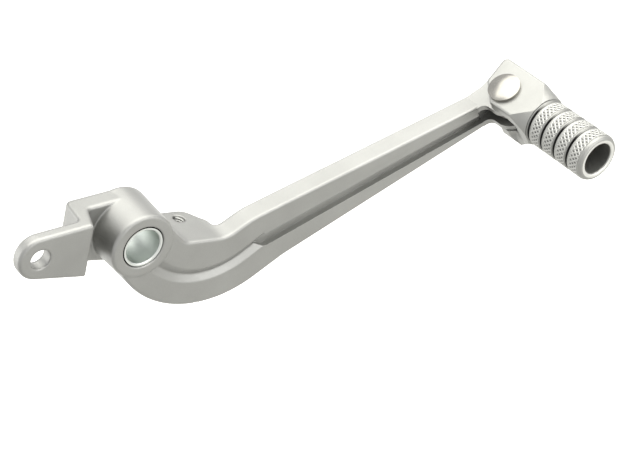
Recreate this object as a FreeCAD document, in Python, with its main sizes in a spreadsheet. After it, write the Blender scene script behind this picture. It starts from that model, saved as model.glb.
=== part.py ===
import FreeCAD, Part
import Sketcher
import math
import os
import re

# Motorbike brake pedal with a folding toe peg.
# Frame: origin at the middle of the pivot bore, +X along the arm towards the toe,
# -Y towards the outer side of the bike, +Z up. All sizes in millimetres and degrees.

DIMENSIONS = {
    # pivot boss and its bush
    "boss_od": 26.0,
    "boss_back_od": 27.8,
    "boss_length": 21.1,
    "boss_front": 10.25,
    "boss_proud": 0.5,
    "boss_round": 1.2,
    "bush_od": 17.0,
    "bush_bore": 14.0,
    "bush_length": 20.1,
    "bush_chamfer": 0.4,
    "bush_lead": 0.45,
    "bush_lead_length": 1.4,
    "bore_chamfer": 0.3,
    # side outline of the arm, each corner given by its distance along X and its drop below the pivot
    "arm_thickness": 8.6,
    "neck_x": 17.2,
    "neck_drop": 8.9,
    "neck_radius": 5.0,
    "dip_x": 34.5,
    "dip_drop": 16.9,
    "dip_radius": 12.0,
    "hump_x": 46.5,
    "hump_drop": 14.8,
    "hump_radius": 30.0,
    "knee_x": 57.0,
    "knee_drop": 40.0,
    "knee_radius": 40.0,
    "heel_back": 11.6,
    "heel_drop": 52.9,
    "heel_radius": 46.0,
    "heel_flat": 0.5,
    "root_angle": 38.3,
    "bar_gap": 8.4,
    "bar_end_top_drop": 20.7,
    "bar_end_bottom_drop": 32.3,
    "arm_round": 1.0,
    "arm_back_round": 0.6,
    # screw lug behind the neck
    "lug_x": 23.8,
    "lug_y": 6.6,
    "lug_radius": 5.6,
    "lug_flat": 4.5,
    "lug_corner": 3.4,
    "lug_end": 33.6,
    "lug_depth": 15.0,
    "lug_round": 5.0,
    "lug_blend": 2.5,
    "screw_minor": 5.0,
    "screw_depth": 10.0,
    # channel along both sides of the arm, and the flute that leads into it round the neck
    "channel_depth": 2.6,
    "channel_start": 49.5,
    "channel_top_drop": 24.8,
    "channel_top_tip_drop": 25.3,
    "channel_bottom_drop": 30.6,
    "channel_bottom_tip_drop": 29.6,
    "channel_lead": 6.0,
    "channel_round": 4.0,
    "flute_x": 33.0,
    "flute_z": 3.2,
    "flute_inner": 29.9,
    "flute_middle": 33.0,
    "flute_outer": 35.8,
    "flute_depth": 1.6,
    "flute_sweep": 75.0,
    "flute_run_out": 12.0,
    "flute_straight": 11.0,
    # crank that carries the pushrod, a plate with a step in it
    "crank_length": 40.5,
    "crank_angle": 22.3,
    "crank_root_radius": 13.5,
    "tab_radius": 8.5,
    "tab_thickness": 5.0,
    "tab_front": 7.0,
    "pushrod_hole": 8.0,
    "bridge_thickness": 7.8,
    "step_inner": 17.4,
    "step_outer": 22.7,
    "step_lean": 19.0,
    "step_back_lean": 6.5,
    "step_radius": 2.0,
    "bend_round": 2.5,
    "crank_round": 1.2,
    # forked eye at the end of the arm
    "pin_x": 168.9,
    "pin_drop": 22.6,
    "pin_out": 15.4,
    "pin_lean": 19.0,
    "eye_height": 11.7,
    "eye_radius": 8.6,
    "eye_back": 12.8,
    "eye_flange": 2.5,
    "eye_root": 12.2,
    "eye_shoulder": 3.5,
    "eye_stop_round": 1.0,
    "hollow_root": 3.8,
    "hollow_round": 1.5,
    # hinge pin, washer and retaining ring
    "pin_od": 8.0,
    "head_od": 13.4,
    "head_rim": 1.3,
    "head_dome": 1.3,
    "head_ease": 1.3,
    "washer_od": 13.0,
    "washer_thickness": 1.0,
    "ring_od": 12.0,
    "ring_thickness": 0.9,
    "ring_seat_od": 6.4,
    "ring_gap": 5.0,
    "pin_tail": 1.4,
    "pin_chamfer": 0.5,
    # folding toe peg
    "toe_width": 20.0,
    "toe_rise": 10.2,
    "toe_drop": 11.4,
    "toe_back": 12.4,
    "toe_round": 1.1,
    "toe_corner_round": 2.2,
    "toe_corner_x": 1.2,
    "toe_corner_back": 9.9,
    "toe_corner_y": 0.6,
    "peg_offset": 1.9,
    "peg_od": 19.4,
    "peg_bore": 13.2,
    "peg_bore_depth": 27.0,
    "peg_bore_tip": 3.4,
    "peg_bore_round": 0.9,
    "peg_length": 48.9,
    "peg_end_round": 1.6,
    "flare_start": 9.6,
    "flare_start_od": 30.4,
    "flare_bend": 14.3,
    "flare_bend_od": 23.8,
    "flare_radius": 16.0,
    "flare_neck": 18.6,
    "flare_neck_od": 20.2,
    "band_pitch": 7.3,
    "band_count": 4,
    "band_groove": 1.6,
    "band_groove_depth": 1.7,
    "band_slot": 0.6,
    "band_slope_depth": 0.6,
    # waist under the upper cheek, cut back from the lower cheek's round to the flare
    "waist_start": 3.0,
    "waist_lug": 9.2,
    "waist_x": 5.9,
    "waist_y": 7.2,
    "waist_flare_x": 6.6,
    "waist_flare_y": 10.6,
    "waist_end_x": 8.8,
    "waist_end_y": 17.6,
    "waist_drop": 11.0,
    "waist_round": 4.0,
    "waist_corner": 1.8,
    # return spring
    "spring_wire": 1.1,
    "spring_turns": 4,
    "spring_mean_od": 11.0,
    # clearances
    "pin_clearance": 0.05,
    "cheek_clearance": 0.15,
    "washer_clearance": 0.15,
    "slot_clearance": 0.6,
    "spring_clearance": 0.3,
    "ring_clearance": 0.05,
}

# Derived places, written once and used in the expressions below.
DERIVED = {
    "boss_back": "boss_length - boss_front",
    "bar_end": "pin_x - bar_gap",
    "arm_front": "boss_front - boss_proud",
    "arm_back": "arm_thickness - arm_front",
    "lug_back": "lug_y + lug_radius",
    "bridge_front": "boss_back - bridge_thickness",
    "tab_back": "tab_front - tab_thickness",
    "eye_arm_back": "pin_out + arm_back",
    "eye_arm_front": "pin_out - arm_front",
    "eye_hollow": "eye_height - 2 * eye_flange",
    "eye_floor": "eye_arm_front + channel_depth",
    "cheek_gap": "eye_height + 2 * cheek_clearance",
    "slot_end": "eye_radius + slot_clearance",
    "toe_height": "toe_rise + toe_drop",
    "toe_front": "peg_offset + toe_width / 2",
    "toe_rear": "toe_width / 2 - peg_offset",
    "band_first": "peg_length - band_count * band_pitch",
    "lug_slope": "atan((dip_drop - neck_drop) / (dip_x - neck_x))",
    "lug_top_drop": "neck_drop + (lug_x - neck_x) * (dip_drop - neck_drop) / (dip_x - neck_x)",
    "pin_seat": "toe_drop + washer_thickness",
    "ring_seat_end": "pin_seat + ring_thickness + 2 * ring_clearance",
    "pin_end": "ring_seat_end + pin_tail",
    "head_top": "toe_rise + head_rim + head_dome",
    "dome_radius": "(head_od * head_od / 4 + head_dome * head_dome) / (2 * head_dome)",
    "spring_rise": "eye_hollow - spring_wire - 2 * spring_clearance",
    "heel_slope": "atan((heel_drop - knee_drop) / (knee_x + heel_back))",
    "heel_start": "heel_radius * tan(45 deg + heel_slope / 2) - heel_drop + heel_flat",
}

FAR = 120.0
SLACK = 0.001

os.makedirs("parts", exist_ok=True)
doc = FreeCAD.newDocument("brake_pedal")
sheet = doc.addObject("Spreadsheet::Sheet", "Dims")
for row, (alias, size) in enumerate(DIMENSIONS.items(), start=1):
    sheet.set("A%d" % row, alias)
    sheet.set("B%d" % row, str(size))
    sheet.setAlias("B%d" % row, alias)
doc.recompute()

alias_word = re.compile(r"\b(%s)\b" % "|".join(DIMENSIONS))
derived_word = re.compile(r"\b(%s)\b" % "|".join(DERIVED))


def bound(expression):
    # An expression in plain size names becomes one that reads the sheet's cells.
    text = str(expression)
    while derived_word.search(text):
        text = derived_word.sub(lambda found: "(%s)" % DERIVED[found.group(1)], text)
    return alias_word.sub(r"Dims.\1", text)


def size_of(expression):
    result = sheet.evalExpression(bound(expression))
    return float(getattr(result, "Value", result))


def new_body(label):
    body = doc.addObject("PartDesign::Body", label)
    body.Label = label
    return body


def new_sketch(body, name, plane, offset="0"):
    # A sketch on one of the body's own origin planes, moved along the plane's normal.
    sketch = body.newObject("Sketcher::SketchObject", name)
    for feature in body.Origin.OriginFeatures:
        if feature.Role == plane:
            sketch.AttachmentSupport = [(feature, "")]
    sketch.MapMode = "FlatFace"
    sketch.setExpression("AttachmentOffset.Base.z", bound(offset))
    return sketch


def constrain(sketch, kind, *args, expression):
    index = sketch.addConstraint(Sketcher.Constraint(kind, *args, size_of(expression)))
    sketch.setExpression("Constraints[%d]" % index, bound(expression))


def place_point(sketch, geometry, end, x, y):
    constrain(sketch, "DistanceX", -1, 1, geometry, end, expression=x)
    constrain(sketch, "DistanceY", -1, 1, geometry, end, expression=y)


def draw_circle(sketch, x, y, diameter):
    centre = FreeCAD.Vector(size_of(x), size_of(y), 0)
    circle = sketch.addGeometry(Part.Circle(centre, FreeCAD.Vector(0, 0, 1), size_of(diameter) / 2))
    place_point(sketch, circle, 3, x, y)
    constrain(sketch, "Diameter", circle, expression=diameter)


def draw_outline(sketch, corners):
    # A closed outline of straight runs. A corner is (x, y) or, where it is rounded, (x, y, radius).
    points = [FreeCAD.Vector(size_of(corner[0]), size_of(corner[1]), 0) for corner in corners]
    count = len(points)
    entry, leave, arcs = [], [], []
    for i, corner in enumerate(corners):
        here = points[i]
        back = (points[i - 1] - here).normalize()
        ahead = (points[(i + 1) % count] - here).normalize()
        if len(corner) == 2:
            entry.append(here)
            leave.append(here)
            arcs.append(None)
            continue
        radius = size_of(corner[2])
        half = back.getAngle(ahead) / 2
        entry.append(here + back * (radius / math.tan(half)))
        leave.append(here + ahead * (radius / math.tan(half)))
        centre = here + (back + ahead).normalize() * (radius / math.sin(half))
        turns_left = (back * -1).cross(ahead).z > 0
        first, last = (entry[i], leave[i]) if turns_left else (leave[i], entry[i])
        start = math.atan2(first.y - centre.y, first.x - centre.x)
        stop = math.atan2(last.y - centre.y, last.x - centre.x)
        circle = Part.Circle(centre, FreeCAD.Vector(0, 0, 1), radius)
        arcs.append((Part.ArcOfCircle(circle, start, stop), turns_left))
    lines = [
        sketch.addGeometry(Part.LineSegment(leave[i], entry[(i + 1) % count])) for i in range(count)
    ]
    for i, corner in enumerate(corners):
        before, after = lines[i - 1], lines[i]
        if arcs[i] is None:
            sketch.addConstraint(Sketcher.Constraint("Coincident", before, 2, after, 1))
            place_point(sketch, after, 1, corner[0], corner[1])
            continue
        arc = sketch.addGeometry(arcs[i][0])
        start, stop = (1, 2) if arcs[i][1] else (2, 1)
        sketch.addConstraint(Sketcher.Constraint("Tangent", before, 2, arc, start))
        sketch.addConstraint(Sketcher.Constraint("Tangent", arc, stop, after, 1))
        vertex = sketch.addGeometry(Part.Point(points[i]), True)
        place_point(sketch, vertex, 1, corner[0], corner[1])
        sketch.addConstraint(Sketcher.Constraint("PointOnObject", vertex, 1, before))
        sketch.addConstraint(Sketcher.Constraint("PointOnObject", vertex, 1, after))
        constrain(sketch, "Radius", arc, expression=corner[2])


def draw_belt(sketch, x, small_radius, large_radius):
    # Two round ends on the sketch's X axis, at x (negative) and at the origin, joined by tangents.
    reach = -size_of(x)
    small, large = size_of(small_radius), size_of(large_radius)
    tilt = math.acos((large - small) / reach)
    up = FreeCAD.Vector(-math.cos(tilt), math.sin(tilt), 0)
    down = FreeCAD.Vector(-math.cos(tilt), -math.sin(tilt), 0)
    axis = FreeCAD.Vector(0, 0, 1)
    left, origin = FreeCAD.Vector(-reach, 0, 0), FreeCAD.Vector()
    start = math.atan2(up.y, up.x)
    tab = sketch.addGeometry(Part.ArcOfCircle(Part.Circle(left, axis, small), start, 2 * math.pi - start))
    boss = sketch.addGeometry(Part.ArcOfCircle(Part.Circle(origin, axis, large), -start, start))
    top = sketch.addGeometry(Part.LineSegment(up * large, left + up * small))
    bottom = sketch.addGeometry(Part.LineSegment(left + down * small, down * large))
    for first, first_end, second, second_end in (
        (boss, 2, top, 1), (top, 2, tab, 1), (tab, 2, bottom, 1), (bottom, 2, boss, 1)
    ):
        sketch.addConstraint(Sketcher.Constraint("Tangent", first, first_end, second, second_end))
    place_point(sketch, tab, 3, x, "0")
    sketch.addConstraint(Sketcher.Constraint("Coincident", boss, 3, -1, 1))
    constrain(sketch, "Radius", tab, expression=small_radius)
    constrain(sketch, "Radius", boss, expression=large_radius)


def add_pad(body, name, sketch, length, symmetric=False, reverse=False):
    pad = body.newObject("PartDesign::Pad", name)
    pad.Profile = sketch
    pad.setExpression("Length", bound(length))
    pad.SideType = "Symmetric" if symmetric else "One side"
    pad.Reversed = reverse
    doc.recompute()
    return pad


def add_pocket(body, name, sketch, depth, symmetric=False, reverse=False):
    before = body.Shape.Volume
    pocket = body.newObject("PartDesign::Pocket", name)
    pocket.Profile = sketch
    pocket.setExpression("Length", bound(depth))
    pocket.SideType = "Symmetric" if symmetric else "One side"
    pocket.Reversed = reverse
    doc.recompute()
    assert body.Shape.Volume < before - SLACK, "%s cuts nothing" % name
    return pocket


def add_turned(body, kind, name, sketch, axis, angle=360.0):
    turned = body.newObject("PartDesign::" + kind, name)
    turned.Profile = sketch
    turned.ReferenceAxis = (sketch, [axis])
    turned.Angle = angle
    doc.recompute()
    return turned


def add_fillet(body, name, radius, chosen):
    # Rounds the edges of the body's last feature for which chosen(edge) is true.
    base = body.Tip
    names = ["Edge%d" % (i + 1) for i, edge in enumerate(base.Shape.Edges) if chosen(edge)]
    fillet = body.newObject("PartDesign::Fillet", name)
    fillet.Base = (base, names)
    fillet.setExpression("Radius", bound(radius))
    doc.recompute()
    return fillet


def middle(edge):
    return edge.valueAt((edge.FirstParameter + edge.LastParameter) / 2)


def lies_at(edge, axis, place):
    # True for an edge that lies wholly in the plane at this place along the axis.
    points = [middle(edge)] + [vertex.Point for vertex in edge.Vertexes]
    return all(abs(getattr(point, axis) - place) < SLACK for point in points)


def runs_along(edge, axis):
    # True for a straight edge parallel to the axis.
    along = edge.tangentAt(edge.FirstParameter)
    return edge.Curve.TypeId == "Part::GeomLine" and abs(getattr(along, axis)) > 1 - SLACK


def turn_about_y(thing, way, angle, x="0", y="0", z="0"):
    # Way is 1 or -1, the direction of the turn.
    thing.Placement.Rotation = FreeCAD.Rotation(FreeCAD.Vector(0, way, 0), size_of(angle))
    thing.setExpression("Placement.Rotation.Angle", bound("(%s) * 1 deg" % angle))
    for axis, place in (("x", x), ("y", y), ("z", z)):
        thing.setExpression("Placement.Base." + axis, bound(place))


def join(name, kind, base, tools):
    # Cuts or fuses whole bodies into one shape.
    joined = doc.addObject(kind, name)
    joined.Label = name
    if kind != "Part::Cut":
        joined.Shapes = [base] + tools
    else:
        joined.Base = base
        joined.Tool = tools[0]
    joined.Refine = True
    doc.recompute()
    return joined


def at_pin(thing):
    # The eye, the toe and the pieces on the pin are drawn about the pin, with Z along it.
    turn_about_y(thing, -1, "pin_lean", "pin_x", "-pin_out", "-pin_drop")


def new_drill(name, diameter, length):
    drill = doc.addObject("Part::Cylinder", name)
    drill.setExpression("Radius", bound("(%s) / 2" % diameter))
    drill.setExpression("Height", bound(length))
    return drill


def along_y(thing, x, y, z):
    # Stands a cylinder or cone with its axis along +Y, its base at the given point.
    thing.Placement.Rotation = FreeCAD.Rotation(FreeCAD.Vector(-1, 0, 0), 90)
    for axis, place in (("x", x), ("y", y), ("z", z)):
        thing.setExpression("Placement.Base." + axis, bound(place))


# Arm and neck: the side outline padded over the whole width, then trimmed behind in plan.
arm = new_body("arm_bar")
outline = new_sketch(arm, "arm_outline", "XZ_Plane", "-lug_back")
draw_outline(outline, [
    ("-heel_back", "heel_start"),
    ("-heel_back", "-heel_drop", "heel_radius"),
    ("knee_x", "-knee_drop", "knee_radius"),
    ("bar_end", "-bar_end_bottom_drop"),
    ("bar_end", "-bar_end_top_drop"),
    ("hump_x", "-hump_drop", "hump_radius"),
    ("dip_x", "-dip_drop", "dip_radius"),
    ("neck_x", "-neck_drop", "neck_radius"),
    ("(boss_od - boss_round) / 2 * cos(root_angle)", "(boss_od - boss_round) / 2 * sin(root_angle)"),
])
add_pad(arm, "arm_blank", outline, "lug_back + arm_front")

plan = new_sketch(arm, "arm_plan", "XY_Plane", str(FAR))
draw_outline(plan, [
    ("pin_x + %g" % FAR, "arm_back"),
    ("pin_x + %g" % FAR, str(FAR)),
    (str(-FAR), str(FAR)),
    (str(-FAR), "boss_back"),
    ("lug_x - 2 * lug_radius", "boss_back"),
    ("lug_x - lug_radius", "lug_back", "lug_blend"),
    ("lug_x + lug_flat", "lug_back", "lug_round"),
    ("lug_end", "lug_y - lug_corner", "lug_round"),
    ("lug_end", "arm_back", "lug_blend"),
])
add_pocket(arm, "arm_plan_cut", plan, str(2 * FAR))

under = new_sketch(arm, "lug_underside", "XZ_Plane", "-arm_back")
draw_outline(under, [
    ("-heel_back - %g" % FAR, "-neck_drop - lug_depth"),
    ("-heel_back - %g" % FAR, str(-FAR)),
    ("lug_end + %g" % FAR, str(-FAR)),
    ("lug_end + %g" % FAR, "-neck_drop - lug_depth"),
])
add_pocket(arm, "lug_relief", under, str(FAR))
front_plane, back_plane = -size_of("arm_front"), size_of("arm_back")
bar_end = size_of("bar_end") - SLACK
bar_middle = -size_of("channel_top_drop")
add_fillet(arm, "arm_bottom_edge", "arm_round", lambda edge: (
    lies_at(edge, "y", front_plane) and middle(edge).x < bar_end and middle(edge).z < bar_middle
))
add_fillet(arm, "arm_top_edge", "arm_round", lambda edge: (
    lies_at(edge, "y", front_plane) and size_of("boss_od") / 2 < middle(edge).x < bar_end
    and middle(edge).z > bar_middle
))
add_fillet(arm, "arm_back_edges", "arm_back_round", lambda edge: (
    lies_at(edge, "y", back_plane) and size_of("hump_x") < middle(edge).x < bar_end
))

# Channel along the front of the arm, opening from the end of the flute, and a plain one behind.
channel = new_sketch(arm, "channel_front", "XZ_Plane", "arm_front")
draw_outline(channel, [
    ("channel_start", "-channel_bottom_drop", "channel_round"),
    ("pin_x", "-channel_bottom_tip_drop"),
    ("pin_x", "-channel_top_tip_drop"),
    ("channel_start", "-channel_top_drop"),
    ("channel_start - channel_lead", "-channel_top_drop - channel_lead * tan(flute_run_out)"),
])
add_pocket(arm, "channel_front_cut", channel, "channel_depth")
channel = new_sketch(arm, "channel_rear", "XZ_Plane", "-arm_back")
draw_outline(channel, [
    ("channel_start", "-channel_bottom_drop"),
    ("pin_x", "-channel_bottom_tip_drop"),
    ("pin_x", "-channel_top_tip_drop"),
    ("channel_start", "-channel_top_drop"),
])
add_pocket(arm, "channel_rear_cut", channel, "channel_depth", reverse=True)

# Flute round the neck: two sloped walls that meet in a line and run in under the boss.
def draw_flute(sketch):
    draw_outline(sketch, [
        ("-arm_front - boss_od", "-flute_inner"),
        ("-arm_front", "-flute_inner"),
        ("flute_depth - arm_front", "-flute_middle"),
        ("-arm_front", "-flute_outer"),
        ("-arm_front - boss_od", "-flute_outer"),
    ])


flute = new_sketch(arm, "flute", "YZ_Plane", "flute_x")
flute.setExpression("AttachmentOffset.Base.y", bound("flute_z"))
draw_flute(flute)
flute_cut = add_turned(arm, "Groove", "flute_cut", flute, "H_Axis")
flute_cut.Type = "TwoAngles"
flute_cut.setExpression("Angle", bound("flute_sweep"))
flute_cut.setExpression("Angle2", bound("flute_run_out"))
doc.recompute()

# Pivot boss, with the draft of a casting from its front to its back.
boss = new_body("boss")
profile = new_sketch(boss, "boss_profile", "XY_Plane")
draw_outline(profile, [
    ("0", "-boss_front"),
    ("boss_od / 2", "-boss_front", "boss_round"),
    ("boss_back_od / 2", "boss_back", "boss_round"),
    ("0", "boss_back"),
])
add_turned(boss, "Revolution", "boss_turned", profile, "V_Axis")

# Crank: a plate with two round ends, stepped by cuts in its front and its back.
crank = new_body("crank")
belt = new_sketch(crank, "crank_outline", "XZ_Plane", "-boss_back")
draw_belt(belt, "-crank_length", "tab_radius", "crank_root_radius")
add_pad(crank, "crank_blank", belt, "boss_back + tab_front")
step = new_sketch(crank, "step_front", "XY_Plane")
draw_outline(step, [
    ("boss_od", "bridge_front"),
    ("-step_inner", "bridge_front", "step_radius"),
    ("-step_inner - (bridge_front + tab_front + boss_od) * tan(step_lean)", "-tab_front - boss_od"),
    ("boss_od", "-tab_front - boss_od"),
])
add_pocket(crank, "step_front_cut", step, "4 * boss_od", symmetric=True)
step = new_sketch(crank, "step_back", "XY_Plane")
draw_outline(step, [
    ("-step_outer - 4 * tab_radius", "-tab_back"),
    ("-step_outer - (boss_back + tab_back) * tan(step_back_lean)", "-tab_back", "step_radius"),
    ("-step_outer", "boss_back"),
    ("-step_outer - 4 * tab_radius", "boss_back"),
])
add_pocket(crank, "step_back_cut", step, "4 * boss_od", symmetric=True)
add_fillet(crank, "crank_bend", "bend_round", lambda edge: (
    runs_along(edge, "z") and lies_at(edge, "y", size_of("boss_back"))
))
add_fillet(crank, "crank_edges", "crank_round", lambda edge: (
    not runs_along(edge, "y") and not runs_along(edge, "z")
))
turn_about_y(crank, 1, "crank_angle")

# Forked eye at the end of the arm, drawn about the pin.
eye = new_body("eye")
eye_plan = new_sketch(eye, "eye_plan", "XY_Plane")
draw_outline(eye_plan, [
    ("-eye_root", "eye_arm_back"),
    ("-eye_root", "eye_arm_front"),
    ("-eye_radius", "eye_arm_front", "eye_shoulder"),
    ("-eye_radius", "-eye_radius", "eye_radius"),
    ("eye_radius", "-eye_radius", "eye_stop_round"),
    ("eye_radius", "eye_back", "eye_radius - eye_stop_round"),
    ("-eye_radius / 2", "eye_back", "eye_radius"),
])
add_pad(eye, "eye_pad", eye_plan, "eye_height", symmetric=True)
at_pin(eye)
hollow = new_body("eye_hollow")
hollow_plan = new_sketch(hollow, "hollow_plan", "XY_Plane")
draw_outline(hollow_plan, [
    ("-eye_radius - hollow_root", "eye_floor", "hollow_round"),
    ("-eye_radius - hollow_root", "-2 * eye_radius"),
    ("2 * eye_radius", "-2 * eye_radius"),
    ("2 * eye_radius", "eye_floor"),
])
add_pad(hollow, "hollow_pad", hollow_plan, "eye_hollow", symmetric=True)
at_pin(hollow)

# Straight end of the flute, in line with the end of its sweep.
flute_end = new_body("flute_end")
section = new_sketch(flute_end, "flute_end_section", "YZ_Plane")
draw_flute(section)
add_pad(flute_end, "flute_end_pad", section, "flute_straight")
turn_about_y(flute_end, -1, "flute_run_out", "flute_x", "0", "flute_z")

# Holes in the casting.
bore = new_drill("bush_seat", "bush_od", "2 * boss_length")
along_y(bore, "0", "-boss_length", "0")
pushrod = new_drill("pushrod_drill", "pushrod_hole", "2 * boss_length")
along_y(pushrod, "-crank_length * cos(crank_angle)", "-boss_length", "crank_length * sin(crank_angle)")
screw = new_drill("screw_drill", "screw_minor", "2 * screw_depth")
turn_about_y(screw, 1, "lug_slope", "lug_x - screw_depth * sin(lug_slope)", "lug_y",
             "-lug_top_drop - screw_depth * cos(lug_slope)")
pin_drill = new_drill("pin_drill", "pin_od + 2 * pin_clearance", "2 * eye_height")
turn_about_y(pin_drill, -1, "pin_lean", "pin_x + eye_height * sin(pin_lean)", "-pin_out",
             "-pin_drop - eye_height * cos(pin_lean)")
chamfers = []
for name, start, first, last in (
    ("bore_chamfer_front", "-boss_front", "bore_chamfer", "0"),
    ("bore_chamfer_back", "boss_back - bore_chamfer", "0", "bore_chamfer"),
):
    cone = doc.addObject("Part::Cone", name)
    cone.setExpression("Radius1", bound("bush_od / 2 + " + first))
    cone.setExpression("Radius2", bound("bush_od / 2 + " + last))
    cone.setExpression("Height", bound("bore_chamfer"))
    along_y(cone, "0", start, "0")
    chamfers.append(cone)

casting = join("casting", "Part::MultiFuse", arm, [boss, crank, eye])
holes = join("holes", "Part::MultiFuse", bore, chamfers + [pushrod, screw, pin_drill, hollow, flute_end])
pedal_arm = join("pedal_arm", "Part::Cut", casting, [holes])

# Bush pressed into the boss.
bush = new_body("pivot_bush")
profile = new_sketch(bush, "bush_profile", "XY_Plane")
draw_outline(profile, [
    ("bush_bore / 2 + bush_chamfer", "-bush_length / 2"),
    ("bush_od / 2 - bush_lead", "-bush_length / 2"),
    ("bush_od / 2", "bush_lead_length - bush_length / 2"),
    ("bush_od / 2", "bush_length / 2 - bush_lead_length"),
    ("bush_od / 2 - bush_lead", "bush_length / 2"),
    ("bush_bore / 2 + bush_chamfer", "bush_length / 2"),
    ("bush_bore / 2", "bush_length / 2 - bush_chamfer"),
    ("bush_bore / 2", "bush_chamfer - bush_length / 2"),
])
add_turned(bush, "Revolution", "bush_turned", profile, "V_Axis")

# Toe peg, first turned about the peg's axis: the flare, the drilled end and the banded grip.
peg = new_body("toe_turned")
profile = new_sketch(peg, "peg_profile", "XY_Plane")
profile.setExpression("AttachmentOffset.Base.x", bound("peg_offset"))
draw_outline(profile, [
    ("0", "2 * toe_back"),
    ("flare_start_od / 2", "2 * toe_back"),
    ("flare_start_od / 2", "-flare_start"),
    ("flare_bend_od / 2", "-flare_bend", "flare_radius"),
    ("flare_neck_od / 2", "-flare_neck"),
    ("peg_od / 2", "-flare_neck"),
    ("peg_od / 2", "-peg_length", "peg_end_round"),
    ("peg_bore / 2", "-peg_length", "peg_bore_round"),
    ("peg_bore / 2", "peg_bore_depth - peg_length"),
    ("0", "peg_bore_depth - peg_length + peg_bore_tip"),
])
add_turned(peg, "Revolution", "peg_turned", profile, "V_Axis")
groove = new_sketch(peg, "band_profile", "XY_Plane")
groove.setExpression("AttachmentOffset.Base.x", bound("peg_offset"))
draw_outline(groove, [
    ("peg_od", "band_groove - band_first"),
    ("peg_od / 2", "band_groove - band_first"),
    ("peg_od / 2 - band_slope_depth", "band_slot - band_first"),
    ("peg_od / 2 - band_groove_depth", "band_slot - band_first"),
    ("peg_od / 2 - band_groove_depth", "-band_first"),
    ("peg_od", "-band_first"),
])
first_groove = add_turned(peg, "Groove", "band_groove", groove, "V_Axis")
bands = peg.newObject("PartDesign::LinearPattern", "bands")
bands.Originals = [first_groove]
bands.Direction = (groove, ["V_Axis"])
bands.Reversed = True
bands.setExpression("Length", bound("(band_count - 1) * band_pitch"))
bands.setExpression("Occurrences", bound("band_count"))
peg.Tip = bands
doc.recompute()

# The toe's block in plan, with its edges rounded; the toe is what the block and the turned peg share.
block = new_body("toe_block")
block_plan = new_sketch(block, "block_plan", "XY_Plane", "-toe_drop")
draw_outline(block_plan, [
    ("toe_front", "toe_back", "toe_corner_round"),
    ("-toe_corner_x", "toe_corner_back", "toe_corner_round"),
    ("-toe_rear", "toe_corner_y", "toe_corner_round"),
    ("-toe_rear", "-peg_length - toe_back"),
    ("toe_front", "-peg_length - toe_back"),
])
add_pad(block, "block_pad", block_plan, "toe_height")
add_fillet(block, "block_edges", "toe_round", lambda edge: not runs_along(edge, "z"))
toe_blank = join("toe_blank", "Part::MultiCommon", peg, [block])
slot = doc.addObject("Part::Box", "toe_slot")
slot.setExpression("Length", bound("2 * toe_width"))
slot.setExpression("Width", bound("slot_end + 2 * toe_back"))
slot.setExpression("Height", bound("cheek_gap"))
slot.setExpression("Placement.Base.x", bound("-toe_width"))
slot.setExpression("Placement.Base.y", bound("-slot_end"))
slot.setExpression("Placement.Base.z", bound("-cheek_gap / 2"))
toe_drill = new_drill("toe_drill", "pin_od", "2 * toe_height")
toe_drill.setExpression("Placement.Base.z", bound("-toe_height"))
waist = new_body("toe_waist")
waist_plan = new_sketch(waist, "waist_plan", "XY_Plane", "-waist_drop")
draw_outline(waist_plan, [
    ("-toe_width", "-waist_start"),
    ("-waist_lug", "-waist_start"),
    ("-waist_x", "-waist_y", "waist_corner"),
    ("-waist_flare_x", "-waist_flare_y"),
    ("-waist_end_x", "-waist_end_y"),
    ("-toe_width", "-waist_end_y"),
])
add_pad(waist, "waist_pad", waist_plan, "waist_drop + cheek_gap / 2")
for level in ("cheek_gap / 2", "-waist_drop"):
    height = size_of(level)
    add_fillet(waist, "waist_edge", "waist_round", lambda edge: (
        lies_at(edge, "z", height) and -size_of("waist_lug") < middle(edge).x
    ))
toe_cuts = join("toe_cuts", "Part::MultiFuse", slot, [toe_drill, waist])
toe_peg = join("toe_peg", "Part::Cut", toe_blank, [toe_cuts])
at_pin(toe_peg)

# Headed pin, with a seat for the retaining ring at its lower end.
pin = new_body("hinge_pin")
profile = new_sketch(pin, "pin_profile", "XZ_Plane")
draw_outline(profile, [
    ("0", "head_top"),
    ("2 * dome_radius * head_dome / head_od", "head_top", "dome_radius - head_ease"),
    ("head_od / 2", "head_top - head_dome"),
    ("head_od / 2", "toe_rise"),
    ("pin_od / 2", "toe_rise"),
    ("pin_od / 2", "-pin_seat"),
    ("ring_seat_od / 2", "-pin_seat"),
    ("ring_seat_od / 2", "-ring_seat_end"),
    ("pin_od / 2", "-ring_seat_end"),
    ("pin_od / 2", "pin_chamfer - pin_end"),
    ("pin_od / 2 - pin_chamfer", "-pin_end"),
    ("0", "-pin_end"),
])
add_turned(pin, "Revolution", "pin_turned", profile, "V_Axis")
at_pin(pin)

# Washer and retaining ring under the lower cheek.
washer = new_body("pin_washer")
profile = new_sketch(washer, "washer_profile", "XY_Plane", "-pin_seat")
draw_circle(profile, "0", "0", "washer_od")
draw_circle(profile, "0", "0", "pin_od + 2 * washer_clearance")
add_pad(washer, "washer_pad", profile, "washer_thickness")
at_pin(washer)
ring = new_body("retaining_ring")
profile = new_sketch(ring, "ring_profile", "XY_Plane", "ring_clearance - ring_seat_end")
draw_circle(profile, "0", "0", "ring_od")
draw_circle(profile, "0", "0", "ring_seat_od + 2 * ring_clearance")
add_pad(ring, "ring_pad", profile, "ring_thickness")
gap = new_sketch(ring, "ring_gap", "XY_Plane", "-pin_seat")
draw_outline(gap, [
    ("0", "-ring_gap / 2"),
    ("ring_od", "-ring_gap / 2"),
    ("ring_od", "ring_gap / 2"),
    ("0", "ring_gap / 2"),
])
add_pocket(ring, "ring_gap_cut", gap, "2 * ring_thickness")
at_pin(ring)

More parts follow.
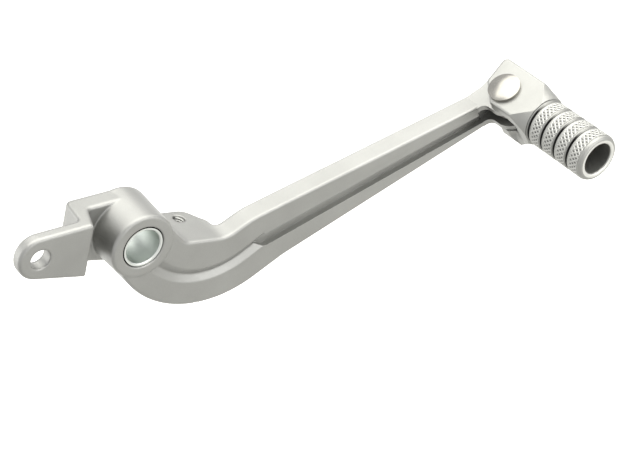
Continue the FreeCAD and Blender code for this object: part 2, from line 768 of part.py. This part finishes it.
# Torsion spring round the pin, inside the eye, with a leg on the toe and one on the arm.
spring = new_body("return_spring")
wire = new_sketch(spring, "wire_start", "XZ_Plane")
draw_circle(wire, "spring_mean_od / 2", "-spring_rise / 2", "spring_wire")
coil = spring.newObject("PartDesign::AdditiveHelix", "coil")
coil.Profile = wire
coil.ReferenceAxis = (wire, ["V_Axis"])
coil.Mode = "height-turns-angle"
coil.setExpression("Height", bound("spring_rise"))
coil.setExpression("Turns", bound("spring_turns"))
doc.recompute()
leg = new_sketch(spring, "toe_leg", "XZ_Plane")
draw_circle(leg, "spring_mean_od / 2", "-spring_rise / 2", "spring_wire")
add_pad(spring, "toe_leg_pad", leg, "slot_end - spring_clearance")
leg = new_sketch(spring, "arm_leg", "XZ_Plane")
draw_circle(leg, "spring_mean_od / 2", "spring_rise / 2", "spring_wire")
add_pad(spring, "arm_leg_pad", leg, "eye_floor - spring_clearance", reverse=True)
at_pin(spring)

doc.recompute()
for thing in doc.Objects:
    assert not {"Invalid", "Error"} & set(thing.State), "%s is in error" % thing.Label
for node in (pedal_arm, bush, toe_peg, pin, spring, washer, ring):
    assert not node.Shape.isNull() and node.Shape.isValid(), "%s is not a valid shape" % node.Label
    assert len(node.Shape.Solids) == 1, "%s is not one solid" % node.Label
    node.Shape.exportStep("parts/%s.step" % node.Label)
    print(node.Label, round(node.Shape.Volume, 1), node.Shape.BoundBox)
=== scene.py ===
import math
import bpy
from mathutils import Matrix, Vector


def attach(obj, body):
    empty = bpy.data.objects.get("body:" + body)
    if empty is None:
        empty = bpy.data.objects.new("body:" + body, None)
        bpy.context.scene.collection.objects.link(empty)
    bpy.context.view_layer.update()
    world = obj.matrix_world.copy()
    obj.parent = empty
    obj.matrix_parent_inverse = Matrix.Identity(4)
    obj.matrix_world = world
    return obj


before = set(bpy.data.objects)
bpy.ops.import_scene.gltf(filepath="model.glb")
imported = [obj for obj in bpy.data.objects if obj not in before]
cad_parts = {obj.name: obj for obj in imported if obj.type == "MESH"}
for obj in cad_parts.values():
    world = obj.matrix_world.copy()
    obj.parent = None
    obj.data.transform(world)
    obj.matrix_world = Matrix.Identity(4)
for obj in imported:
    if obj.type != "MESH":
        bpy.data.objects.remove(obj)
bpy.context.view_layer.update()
scene = bpy.context.scene
scene.view_settings.view_transform = "Standard"
print("frame loaded, nodes:", ", ".join(sorted(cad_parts)))

mergeGap = 0.00001                  # points closer than this count as one
pegAxis = (0.17070, 0, -0.02198)    # the foot peg's axis runs along Y through here


# small helpers for working as in edit mode

def freshStart():
    if bpy.context.mode != "OBJECT":
        bpy.ops.object.mode_set(mode="OBJECT")
    bpy.ops.object.select_all(action="DESELECT")


def pickOnly(piece):
    freshStart()
    piece.select_set(True)
    bpy.context.view_layer.objects.active = piece


def selectEdges(piece, test):
    bpy.ops.mesh.select_all(action="DESELECT")
    bpy.ops.mesh.select_mode(type="EDGE")
    bpy.ops.object.mode_set(mode="OBJECT")
    for e in piece.data.edges:
        e.select = bool(test(e))
    bpy.ops.object.mode_set(mode="EDIT")


def settle(piece):
    pickOnly(piece)
    bpy.ops.object.transform_apply(location=True, rotation=True, scale=True)


def tidyMesh(piece):
    pickOnly(piece)
    bpy.ops.object.mode_set(mode="EDIT")
    bpy.ops.mesh.select_all(action="SELECT")
    bpy.ops.mesh.remove_doubles(threshold=mergeGap)
    bpy.ops.mesh.normals_make_consistent(inside=False)
    bpy.ops.object.mode_set(mode="OBJECT")


# small helpers for shader nodes

def emptyTree(block):
    block.use_nodes = True
    block.node_tree.nodes.clear()
    return block.node_tree


def feed(tree, socket, value):
    # another node's output is linked, a plain value is set
    if isinstance(value, bpy.types.NodeSocket):
        tree.links.new(value, socket)
    else:
        socket.default_value = value


def addMath(tree, operation, first, second):
    step = tree.nodes.new("ShaderNodeMath")
    step.operation = operation
    feed(tree, step.inputs[0], first)
    feed(tree, step.inputs[1], second)
    return step.outputs["Value"]


def addRamp(tree, value, span, result=(0.0, 1.0), smooth=False):
    ramp = tree.nodes.new("ShaderNodeMapRange")
    if smooth:
        ramp.interpolation_type = "SMOOTHSTEP"
    for k, end in enumerate(("Min", "Max")):
        ramp.inputs["From " + end].default_value = span[k]
        ramp.inputs["To " + end].default_value = result[k]
    tree.links.new(value, ramp.inputs["Value"])
    return ramp.outputs["Result"]


def splitAxes(tree, vector):
    split = tree.nodes.new("ShaderNodeSeparateXYZ")
    tree.links.new(vector, split.inputs["Vector"])
    return split.outputs


def mixColours(tree, fac, first, second):
    mix = tree.nodes.new("ShaderNodeMix")
    mix.data_type = "RGBA"
    tree.links.new(fac, mix.inputs["Factor"])
    feed(tree, mix.inputs[6], first)    # sockets 6 and 7 are the colours
    feed(tree, mix.inputs[7], second)
    return mix.outputs[2]


# the camera stands where the photograph was taken from

viewPoint = {
    "place": (-0.1824, -0.4292, 0.4107),
    "right": (0.806, -0.5846, -0.0929),
    "up": (0.4529, 0.508, 0.7326),
    "lens": 98.7,
    "sensor": 36.0,
    "nearClip": 0.01,
}


def setCamera(spec):
    right = Vector(spec["right"]).normalized()
    up = Vector(spec["up"])
    up = (up - right * up.dot(right)).normalized()
    turn = Matrix((right, up, right.cross(up))).transposed().to_euler()
    freshStart()
    bpy.ops.object.camera_add(location=spec["place"], rotation=turn)
    camera = bpy.context.object
    camera.name = "photoCamera"
    camera.data.lens = spec["lens"]
    camera.data.sensor_width = spec["sensor"]
    camera.data.clip_start = spec["nearClip"]
    scene.camera = camera


setCamera(viewPoint)
print("camera set")


# white studio: sky, floor and softboxes

studio = {
    "white": (1, 1, 1, 1),
    "skySeen": 1.0,
    "skyTint": (1, 1, 0.985, 1),
    "skyFill": 0.15,
    "floorHeight": -0.32,
    "floorSize": 6.0,
    "paper": (0.80, 0.80, 0.79, 1),
    "floorGlow": (0.13, 0.80),      # in front of the part and behind it
    "glowSpan": (-0.10, 0.35),
    "farGlow": (0.0, 0.70),         # makes up for the weaker lamplight far from it
    "farFrom": (0.4, 0, 0),
    "farSpan": (0.8, 1.7),
    "glowTop": 0.85,
    "lamps": [
        # name, place, turn in degrees, width, height, watts, tint
        ("overhead", (0.538, 0.05, 0.70), (0, 0, 24),
         1.35, 1.50, 17.6, (1, 0.992, 0.94)),
        ("frontBox", (0.50, -1.10, 0.16), (81, 0, 22),
         1.20, 0.60, 4.8, (1, 1, 0.98)),
        ("backLeft", (-0.80, 0.78, 0.10), (85, 0, -134),
         1.00, 1.00, 4.5, (1, 1, 0.97)),
    ],
}


def seenRays(tree):
    # camera, glossy and transmitted rays see the white backdrop
    path = tree.nodes.new("ShaderNodeLightPath").outputs
    direct = addMath(tree, "MAXIMUM", path["Is Camera Ray"], path["Is Glossy Ray"])
    return addMath(tree, "MAXIMUM", direct, path["Is Transmission Ray"])


def makeSky(spec):
    scene.world = bpy.data.worlds.new("studioSky")
    tree = emptyTree(scene.world)
    nodes, links = tree.nodes, tree.links
    out = nodes.new("ShaderNodeOutputWorld")
    seen = nodes.new("ShaderNodeBackground")
    seen.inputs["Color"].default_value = spec["white"]
    seen.inputs["Strength"].default_value = spec["skySeen"]
    lit = nodes.new("ShaderNodeBackground")
    lit.inputs["Color"].default_value = spec["skyTint"]
    lit.inputs["Strength"].default_value = spec["skyFill"]
    mix = nodes.new("ShaderNodeMixShader")
    links.new(seenRays(tree), mix.inputs["Fac"])
    links.new(lit.outputs["Background"], mix.inputs[1])
    links.new(seen.outputs["Background"], mix.inputs[2])
    links.new(mix.outputs["Shader"], out.inputs["Surface"])


def makePaper(spec):
    paper = bpy.data.materials.new("floorPaper")
    tree = emptyTree(paper)
    nodes, links = tree.nodes, tree.links
    out = nodes.new("ShaderNodeOutputMaterial")
    matt = nodes.new("ShaderNodeBsdfDiffuse")
    matt.inputs["Color"].default_value = spec["paper"]
    glow = nodes.new("ShaderNodeEmission")
    glow.inputs["Color"].default_value = spec["white"]
    both = nodes.new("ShaderNodeAddShader")
    place = nodes.new("ShaderNodeTexCoord").outputs["Object"]
    depth = splitAxes(tree, place)["Y"]
    near = addRamp(tree, depth, spec["glowSpan"], spec["floorGlow"], smooth=True)
    reach = nodes.new("ShaderNodeVectorMath")
    reach.operation = "DISTANCE"
    reach.inputs[1].default_value = spec["farFrom"]
    links.new(place, reach.inputs[0])
    far = addRamp(tree, reach.outputs["Value"], spec["farSpan"], spec["farGlow"], smooth=True)
    held = addMath(tree, "MINIMUM", addMath(tree, "ADD", near, far), spec["glowTop"])
    level = addMath(tree, "MULTIPLY", seenRays(tree), held)
    links.new(level, glow.inputs["Strength"])
    links.new(matt.outputs["BSDF"], both.inputs[0])
    links.new(glow.outputs["Emission"], both.inputs[1])
    links.new(both.outputs["Shader"], out.inputs["Surface"])
    return paper


def makeFloor(spec):
    freshStart()
    bpy.ops.mesh.primitive_plane_add(size=spec["floorSize"],
                                     location=(0, 0, spec["floorHeight"]))
    floor = bpy.context.object
    floor.name = "studioFloor"
    floor.data.materials.append(makePaper(spec))


def makeLamps(spec):
    for name, place, turn, width, height, watts, tint in spec["lamps"]:
        freshStart()
        angles = [math.radians(a) for a in turn]
        bpy.ops.object.light_add(type="AREA", location=place, rotation=angles)
        lamp = bpy.context.object
        lamp.name = name
        lamp.data.shape = "RECTANGLE"
        lamp.data.size = width
        lamp.data.size_y = height
        lamp.data.energy = watts
        lamp.data.color = tint


makeSky(studio)
makeFloor(studio)
makeLamps(studio)
print("studio ready")


# metal finishes

allFinishes = {
    "noiseSpan": (0.3, 0.7),            # this part of the noise gives the whole change
    "patchDetail": 4,
    "grainDetail": 2,
    "grainDepth": 0.0002,
    "softSamples": 8,
    # colour and fades of the painted shade in slots and joints
    "paintedShade": (0.008, 0.008, 0.008, 1),
    "shadeFade": (1.0, 0.0),             # across the recess's outer radii
    "sideFade": (1.0, 0.25),            # the painted shade is weaker towards one side
}

finishes = {
    "castSatin": {
        "light": (0.375, 0.375, 0.362), "dark": (0.33, 0.33, 0.318), "metallic": 0.9,
        "rough": (0.40, 0.52), "patch": 45, "grain": 2600, "bump": 0.10,
        # edges are softer round the boss and neck than along the bar
        "edge": {"span": (0.043, 0.051), "radius": (0.0012, 0.0001)},
    },
    "toeSatin": {
        "light": (0.385, 0.385, 0.368), "dark": (0.34, 0.34, 0.325), "metallic": 0.9,
        "rough": (0.42, 0.54), "patch": 70, "grain": 3000, "bump": 0.07,
        "edge": {"radius": 0.0004},
        # painted shade in the slots between the grip's bands, weaker towards one side, and a
        # lighter colour painted on the peg's end face
        "recess": {
            "axis": pegAxis, "inner": 0.0075, "outer": (0.0094, 0.0096),
            "span": (-0.0627, -0.0330), "lowest": -0.0045, "side": (-0.0045, -0.0005),
            "lip": 0.0082, "face": -0.0640, "turned": (0.70, 0.70, 0.67),
        },
    },
    # lighter copy of the peg's metal for the knurl's crests: a painted highlight
    "gripPaintedLit": {
        "light": (0.52, 0.52, 0.50), "dark": (0.45, 0.45, 0.432), "metallic": 0.9,
        "rough": (0.42, 0.54), "patch": 70, "grain": 3000, "bump": 0.05,
    },
    # dark copy for the knurl's pit floors: painted shade
    "gripPaintedShade": {
        "light": (0.15, 0.15, 0.145), "dark": (0.10, 0.10, 0.096), "metallic": 0.9,
        "rough": (0.5, 0.6), "patch": 90, "grain": 3000, "bump": 0.05,
    },
    "bushZinc": {
        "light": (0.56, 0.595, 0.565), "dark": (0.48, 0.515, 0.49), "metallic": 1.0,
        "rough": (0.40, 0.50), "patch": 160, "grain": 4000, "bump": 0.04,
        # painted shade in the joint between the bush and the boss, and a painted highlight on
        # the bush's end face
        "recess": {
            "axis": (0, 0, 0), "inner": 0.00808, "outer": (0.0086, 0.0087),
            "lip": 0.00808, "face": -0.0097, "turned": (0.66, 0.68, 0.655),
        },
    },
    "pinPolish": {
        "light": (0.35, 0.34, 0.312), "dark": (0.30, 0.29, 0.267), "metallic": 1.0,
        "rough": (0.20, 0.28), "patch": 220, "grain": 5000, "bump": 0.03,
    },
    "threadSatin": {
        "light": (0.375, 0.375, 0.362), "dark": (0.33, 0.33, 0.318), "metallic": 0.9,
        "rough": (0.36, 0.46), "patch": 200, "grain": 4000, "bump": 0.05,
    },
    "springWire": {
        "light": (0.34, 0.33, 0.32), "dark": (0.22, 0.21, 0.20), "metallic": 1.0,
        "rough": (0.30, 0.45), "patch": 300, "grain": 4000, "bump": 0.05,
    },
    "ringBlack": {
        "light": (0.12, 0.12, 0.12), "dark": (0.07, 0.07, 0.07), "metallic": 1.0,
        "rough": (0.35, 0.50), "patch": 300, "grain": 4000, "bump": 0.05,
    },
}


def addNoise(tree, place, scale, detail):
    noise = tree.nodes.new("ShaderNodeTexNoise")
    noise.inputs["Scale"].default_value = scale
    noise.inputs["Detail"].default_value = detail
    tree.links.new(place, noise.inputs["Vector"])
    return noise.outputs["Fac"]


def softNormal(tree, place, edge):
    radius = edge["radius"]
    if "span" in edge:
        radius = addRamp(tree, splitAxes(tree, place)["X"], edge["span"], radius)
    soften = tree.nodes.new("ShaderNodeBevel")
    soften.samples = allFinishes["softSamples"]
    feed(tree, soften.inputs["Radius"], radius)
    return soften.outputs["Normal"]


def addRecess(tree, place, colour, recess):
    # painted shade between two radii round an axis, and a lighter colour painted on an end
    # face up to its lip
    nodes, links = tree.nodes, tree.links
    shift = nodes.new("ShaderNodeMapping")
    shift.inputs["Location"].default_value = [-a for a in recess["axis"]]
    links.new(place, shift.inputs["Vector"])
    along = splitAxes(tree, shift.outputs["Vector"])
    flat = nodes.new("ShaderNodeVectorMath")
    flat.operation = "MULTIPLY"
    flat.inputs[1].default_value = (1, 0, 1)    # leaves the distance from the axis
    links.new(shift.outputs["Vector"], flat.inputs[0])
    length = nodes.new("ShaderNodeVectorMath")
    length.operation = "LENGTH"
    links.new(flat.outputs["Vector"], length.inputs[0])
    reach = length.outputs["Value"]

    fac = addRamp(tree, reach, recess["outer"], allFinishes["shadeFade"])
    gates = [(reach, "GREATER_THAN", recess["inner"])]
    if "side" in recess:
        side = addRamp(tree, along["X"], recess["side"], allFinishes["sideFade"])
        fac = addMath(tree, "MULTIPLY", fac, side)
    if "span" in recess:
        gates.append((along["Y"], "GREATER_THAN", recess["span"][0]))
        gates.append((along["Y"], "LESS_THAN", recess["span"][1]))
    if "lowest" in recess:
        gates.append((along["Z"], "GREATER_THAN", recess["lowest"]))
    for value, operation, limit in gates:
        fac = addMath(tree, "MULTIPLY", fac, addMath(tree, operation, value, limit))
    # painted shade mixed in where the mask is set
    colour = mixColours(tree, fac, colour, allFinishes["paintedShade"])

    # a lighter colour painted on the end face inside its lip
    inLip = addMath(tree, "LESS_THAN", reach, recess["lip"])
    onFace = addMath(tree, "LESS_THAN", along["Y"], recess["face"])
    fac = addMath(tree, "MULTIPLY", inLip, onFace)
    return mixColours(tree, fac, colour, recess["turned"] + (1,))


def makeFinish(name, spec):
    finish = bpy.data.materials.new(name)
    tree = emptyTree(finish)
    nodes, links = tree.nodes, tree.links
    out = nodes.new("ShaderNodeOutputMaterial")
    metal = nodes.new("ShaderNodeBsdfPrincipled")
    metal.inputs["Metallic"].default_value = spec["metallic"]
    links.new(metal.outputs["BSDF"], out.inputs["Surface"])
    place = nodes.new("ShaderNodeTexCoord").outputs["Object"]
    noiseSpan = allFinishes["noiseSpan"]

    # slow change of tone over the piece
    patch = addNoise(tree, place, spec["patch"], allFinishes["patchDetail"])
    tone = mixColours(tree, addRamp(tree, patch, noiseSpan),
                      spec["dark"] + (1,), spec["light"] + (1,))
    if "recess" in spec:
        tone = addRecess(tree, place, tone, spec["recess"])
    links.new(tone, metal.inputs["Base Color"])

    # fine grain of the surface
    grain = addNoise(tree, place, spec["grain"], allFinishes["grainDetail"])
    links.new(addRamp(tree, grain, noiseSpan, spec["rough"]), metal.inputs["Roughness"])
    bump = nodes.new("ShaderNodeBump")
    bump.inputs["Strength"].default_value = spec["bump"]
    bump.inputs["Distance"].default_value = allFinishes["grainDepth"]
    links.new(grain, bump.inputs["Height"])
    if "edge" in spec:
        links.new(softNormal(tree, place, spec["edge"]), bump.inputs["Normal"])
    links.new(bump.outputs["Normal"], metal.inputs["Normal"])
    return finish


paint = {name: makeFinish(name, spec) for name, spec in finishes.items()}


def wear(piece, finish):
    piece.data.materials.clear()
    piece.data.materials.append(paint[finish])


nodeFinish = {
    "pedal_arm": "castSatin",
    "pivot_bush": "bushZinc",
    "toe_peg": "toeSatin",
    "hinge_pin": "pinPolish",
    "pin_washer": "bushZinc",
    "retaining_ring": "ringBlack",
    "return_spring": "springWire",
}

for node, finish in nodeFinish.items():
    wear(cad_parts[node], finish)
print("finishes on the frame")


# knurled bands on the foot peg

gripBands = {
    "axis": pegAxis,
    "firstEdge": -0.0359,         # y where the first knurled belt starts
    "belt": 0.0048,
    "pitch": 0.0073,
    "count": 4,
    "crestRadius": 0.00990,
    "innerRadius": 0.00930,
    "teethRound": 32,
    "teethAlong": 2,
    "ridge": 0.00036,
    "pit": -0.00015,
}


def makeGripBand(spec):
    cx, _, cz = spec["axis"]
    first, last = spec["firstEdge"], spec["firstEdge"] - spec["belt"]
    freshStart()
    bpy.ops.mesh.primitive_circle_add(vertices=spec["teethRound"],
                                      radius=spec["crestRadius"],
                                      location=(cx, first, cz),
                                      rotation=(math.pi / 2, 0, 0))
    band = bpy.context.object
    band.name = "gripBand1"
    settle(band)

    def atEnd(y):
        return min(abs(y - first), abs(y - last)) < mergeGap

    def onRim(e):
        return all(atEnd(band.data.vertices[i].co.y) for i in e.vertices)

    def oldGrid(e):
        return e.use_seam and not onRim(e)

    bpy.ops.object.mode_set(mode="EDIT")
    bpy.ops.mesh.select_all(action="SELECT")
    step = -spec["belt"] / spec["teethAlong"]
    for row in range(spec["teethAlong"]):
        bpy.ops.mesh.extrude_region_move(TRANSFORM_OT_translate={"value": (0, step, 0)})
    bpy.ops.mesh.select_all(action="SELECT")
    bpy.ops.mesh.normals_make_consistent(inside=False)
    bpy.ops.mesh.mark_seam(clear=False)
    bpy.ops.mesh.poke()
    # the first grid goes, which leaves crossed diamonds
    selectEdges(band, oldGrid)
    bpy.ops.mesh.dissolve_edges(use_verts=False)
    bpy.ops.mesh.select_mode(type="FACE")
    bpy.ops.mesh.select_all(action="SELECT")
    bpy.ops.mesh.mark_seam(clear=True)
    bpy.ops.mesh.inset(thickness=spec["ridge"], depth=spec["pit"], use_individual=True)
    # the crests take the lighter copy as painted highlight, the inset pit floors the dark
    # copy as painted shade
    band.data.materials.append(paint["gripPaintedLit"])
    band.data.materials.append(paint["gripPaintedShade"])
    band.active_material_index = 1
    bpy.ops.object.material_slot_assign()
    # both rims turn in and close the sleeve inside the peg's wall
    selectEdges(band, onRim)
    bpy.ops.mesh.extrude_edges_move(TRANSFORM_OT_translate={"value": (0, 0, 0)})
    shrink = spec["innerRadius"] / spec["crestRadius"]
    bpy.ops.transform.resize(value=(shrink, 1, shrink),
                             center_override=(cx, first - spec["belt"] / 2, cz))
    bpy.ops.mesh.bridge_edge_loops()
    bpy.ops.object.mode_set(mode="OBJECT")
    tidyMesh(band)
    return band


def copyBands(band, spec):
    bands = [band]
    for k in range(1, spec["count"]):
        pickOnly(band)
        bpy.ops.object.duplicate(linked=False)
        twin = bpy.context.object
        twin.name = "gripBand%d" % (k + 1)
        twin.location.y -= k * spec["pitch"]
        settle(twin)
        bands.append(twin)
    for piece in bands:
        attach(piece, "toe")
    return bands


bands = copyBands(makeGripBand(gripBands), gripBands)
print("knurled bands:", len(bands), "with", len(bands[0].data.polygons), "faces each")


# thread in the lug's screw hole

lugThread = {
    "middle": (0.0217, 0.0066, -0.01649),   # halfway down the hole, on its axis
    "axis": (0.419718, 0.0, 0.907655),
    "wall": 0.00256,
    "crest": 0.00212,
    "pitch": 0.001,
    "halfTooth": 0.00044,                   # half the tooth's width at the wall
    "turns": 8,
    "steps": 28,
}


def makeThread(spec):
    freshStart()
    bpy.ops.mesh.primitive_circle_add(vertices=3, radius=spec["wall"], location=(0, 0, 0))
    thread = bpy.context.object
    thread.name = "lugThread"
    # the three points go to the corners of one tooth
    half = spec["halfTooth"]
    corners = ((spec["crest"], 0, 0), (spec["wall"], 0, half), (spec["wall"], 0, -half))
    for v, place in zip(thread.data.vertices, corners):
        v.co = place
    turn = thread.modifiers.new("helix", "SCREW")
    turn.axis = "Z"
    turn.screw_offset = spec["pitch"]
    turn.iterations = spec["turns"]
    turn.steps = spec["steps"]
    turn.render_steps = spec["steps"]
    turn.use_smooth_shade = False
    pickOnly(thread)
    bpy.ops.object.modifier_apply(modifier="helix")
    # both ends of the helix are closed
    bpy.ops.object.mode_set(mode="EDIT")
    bpy.ops.mesh.select_all(action="DESELECT")
    bpy.ops.mesh.select_mode(type="EDGE")
    bpy.ops.mesh.select_non_manifold()
    bpy.ops.mesh.edge_face_add()
    bpy.ops.object.mode_set(mode="OBJECT")
    axis = Vector(spec["axis"])
    thread.rotation_euler = axis.to_track_quat("Z", "Y").to_euler()
    thread.location = Vector(spec["middle"]) - axis * (spec["turns"] * spec["pitch"] / 2)
    settle(thread)
    tidyMesh(thread)
    wear(thread, "threadSatin")
    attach(thread, "arm")
    return thread


thread = makeThread(lugThread)
print("screw thread:", len(thread.data.polygons), "faces")
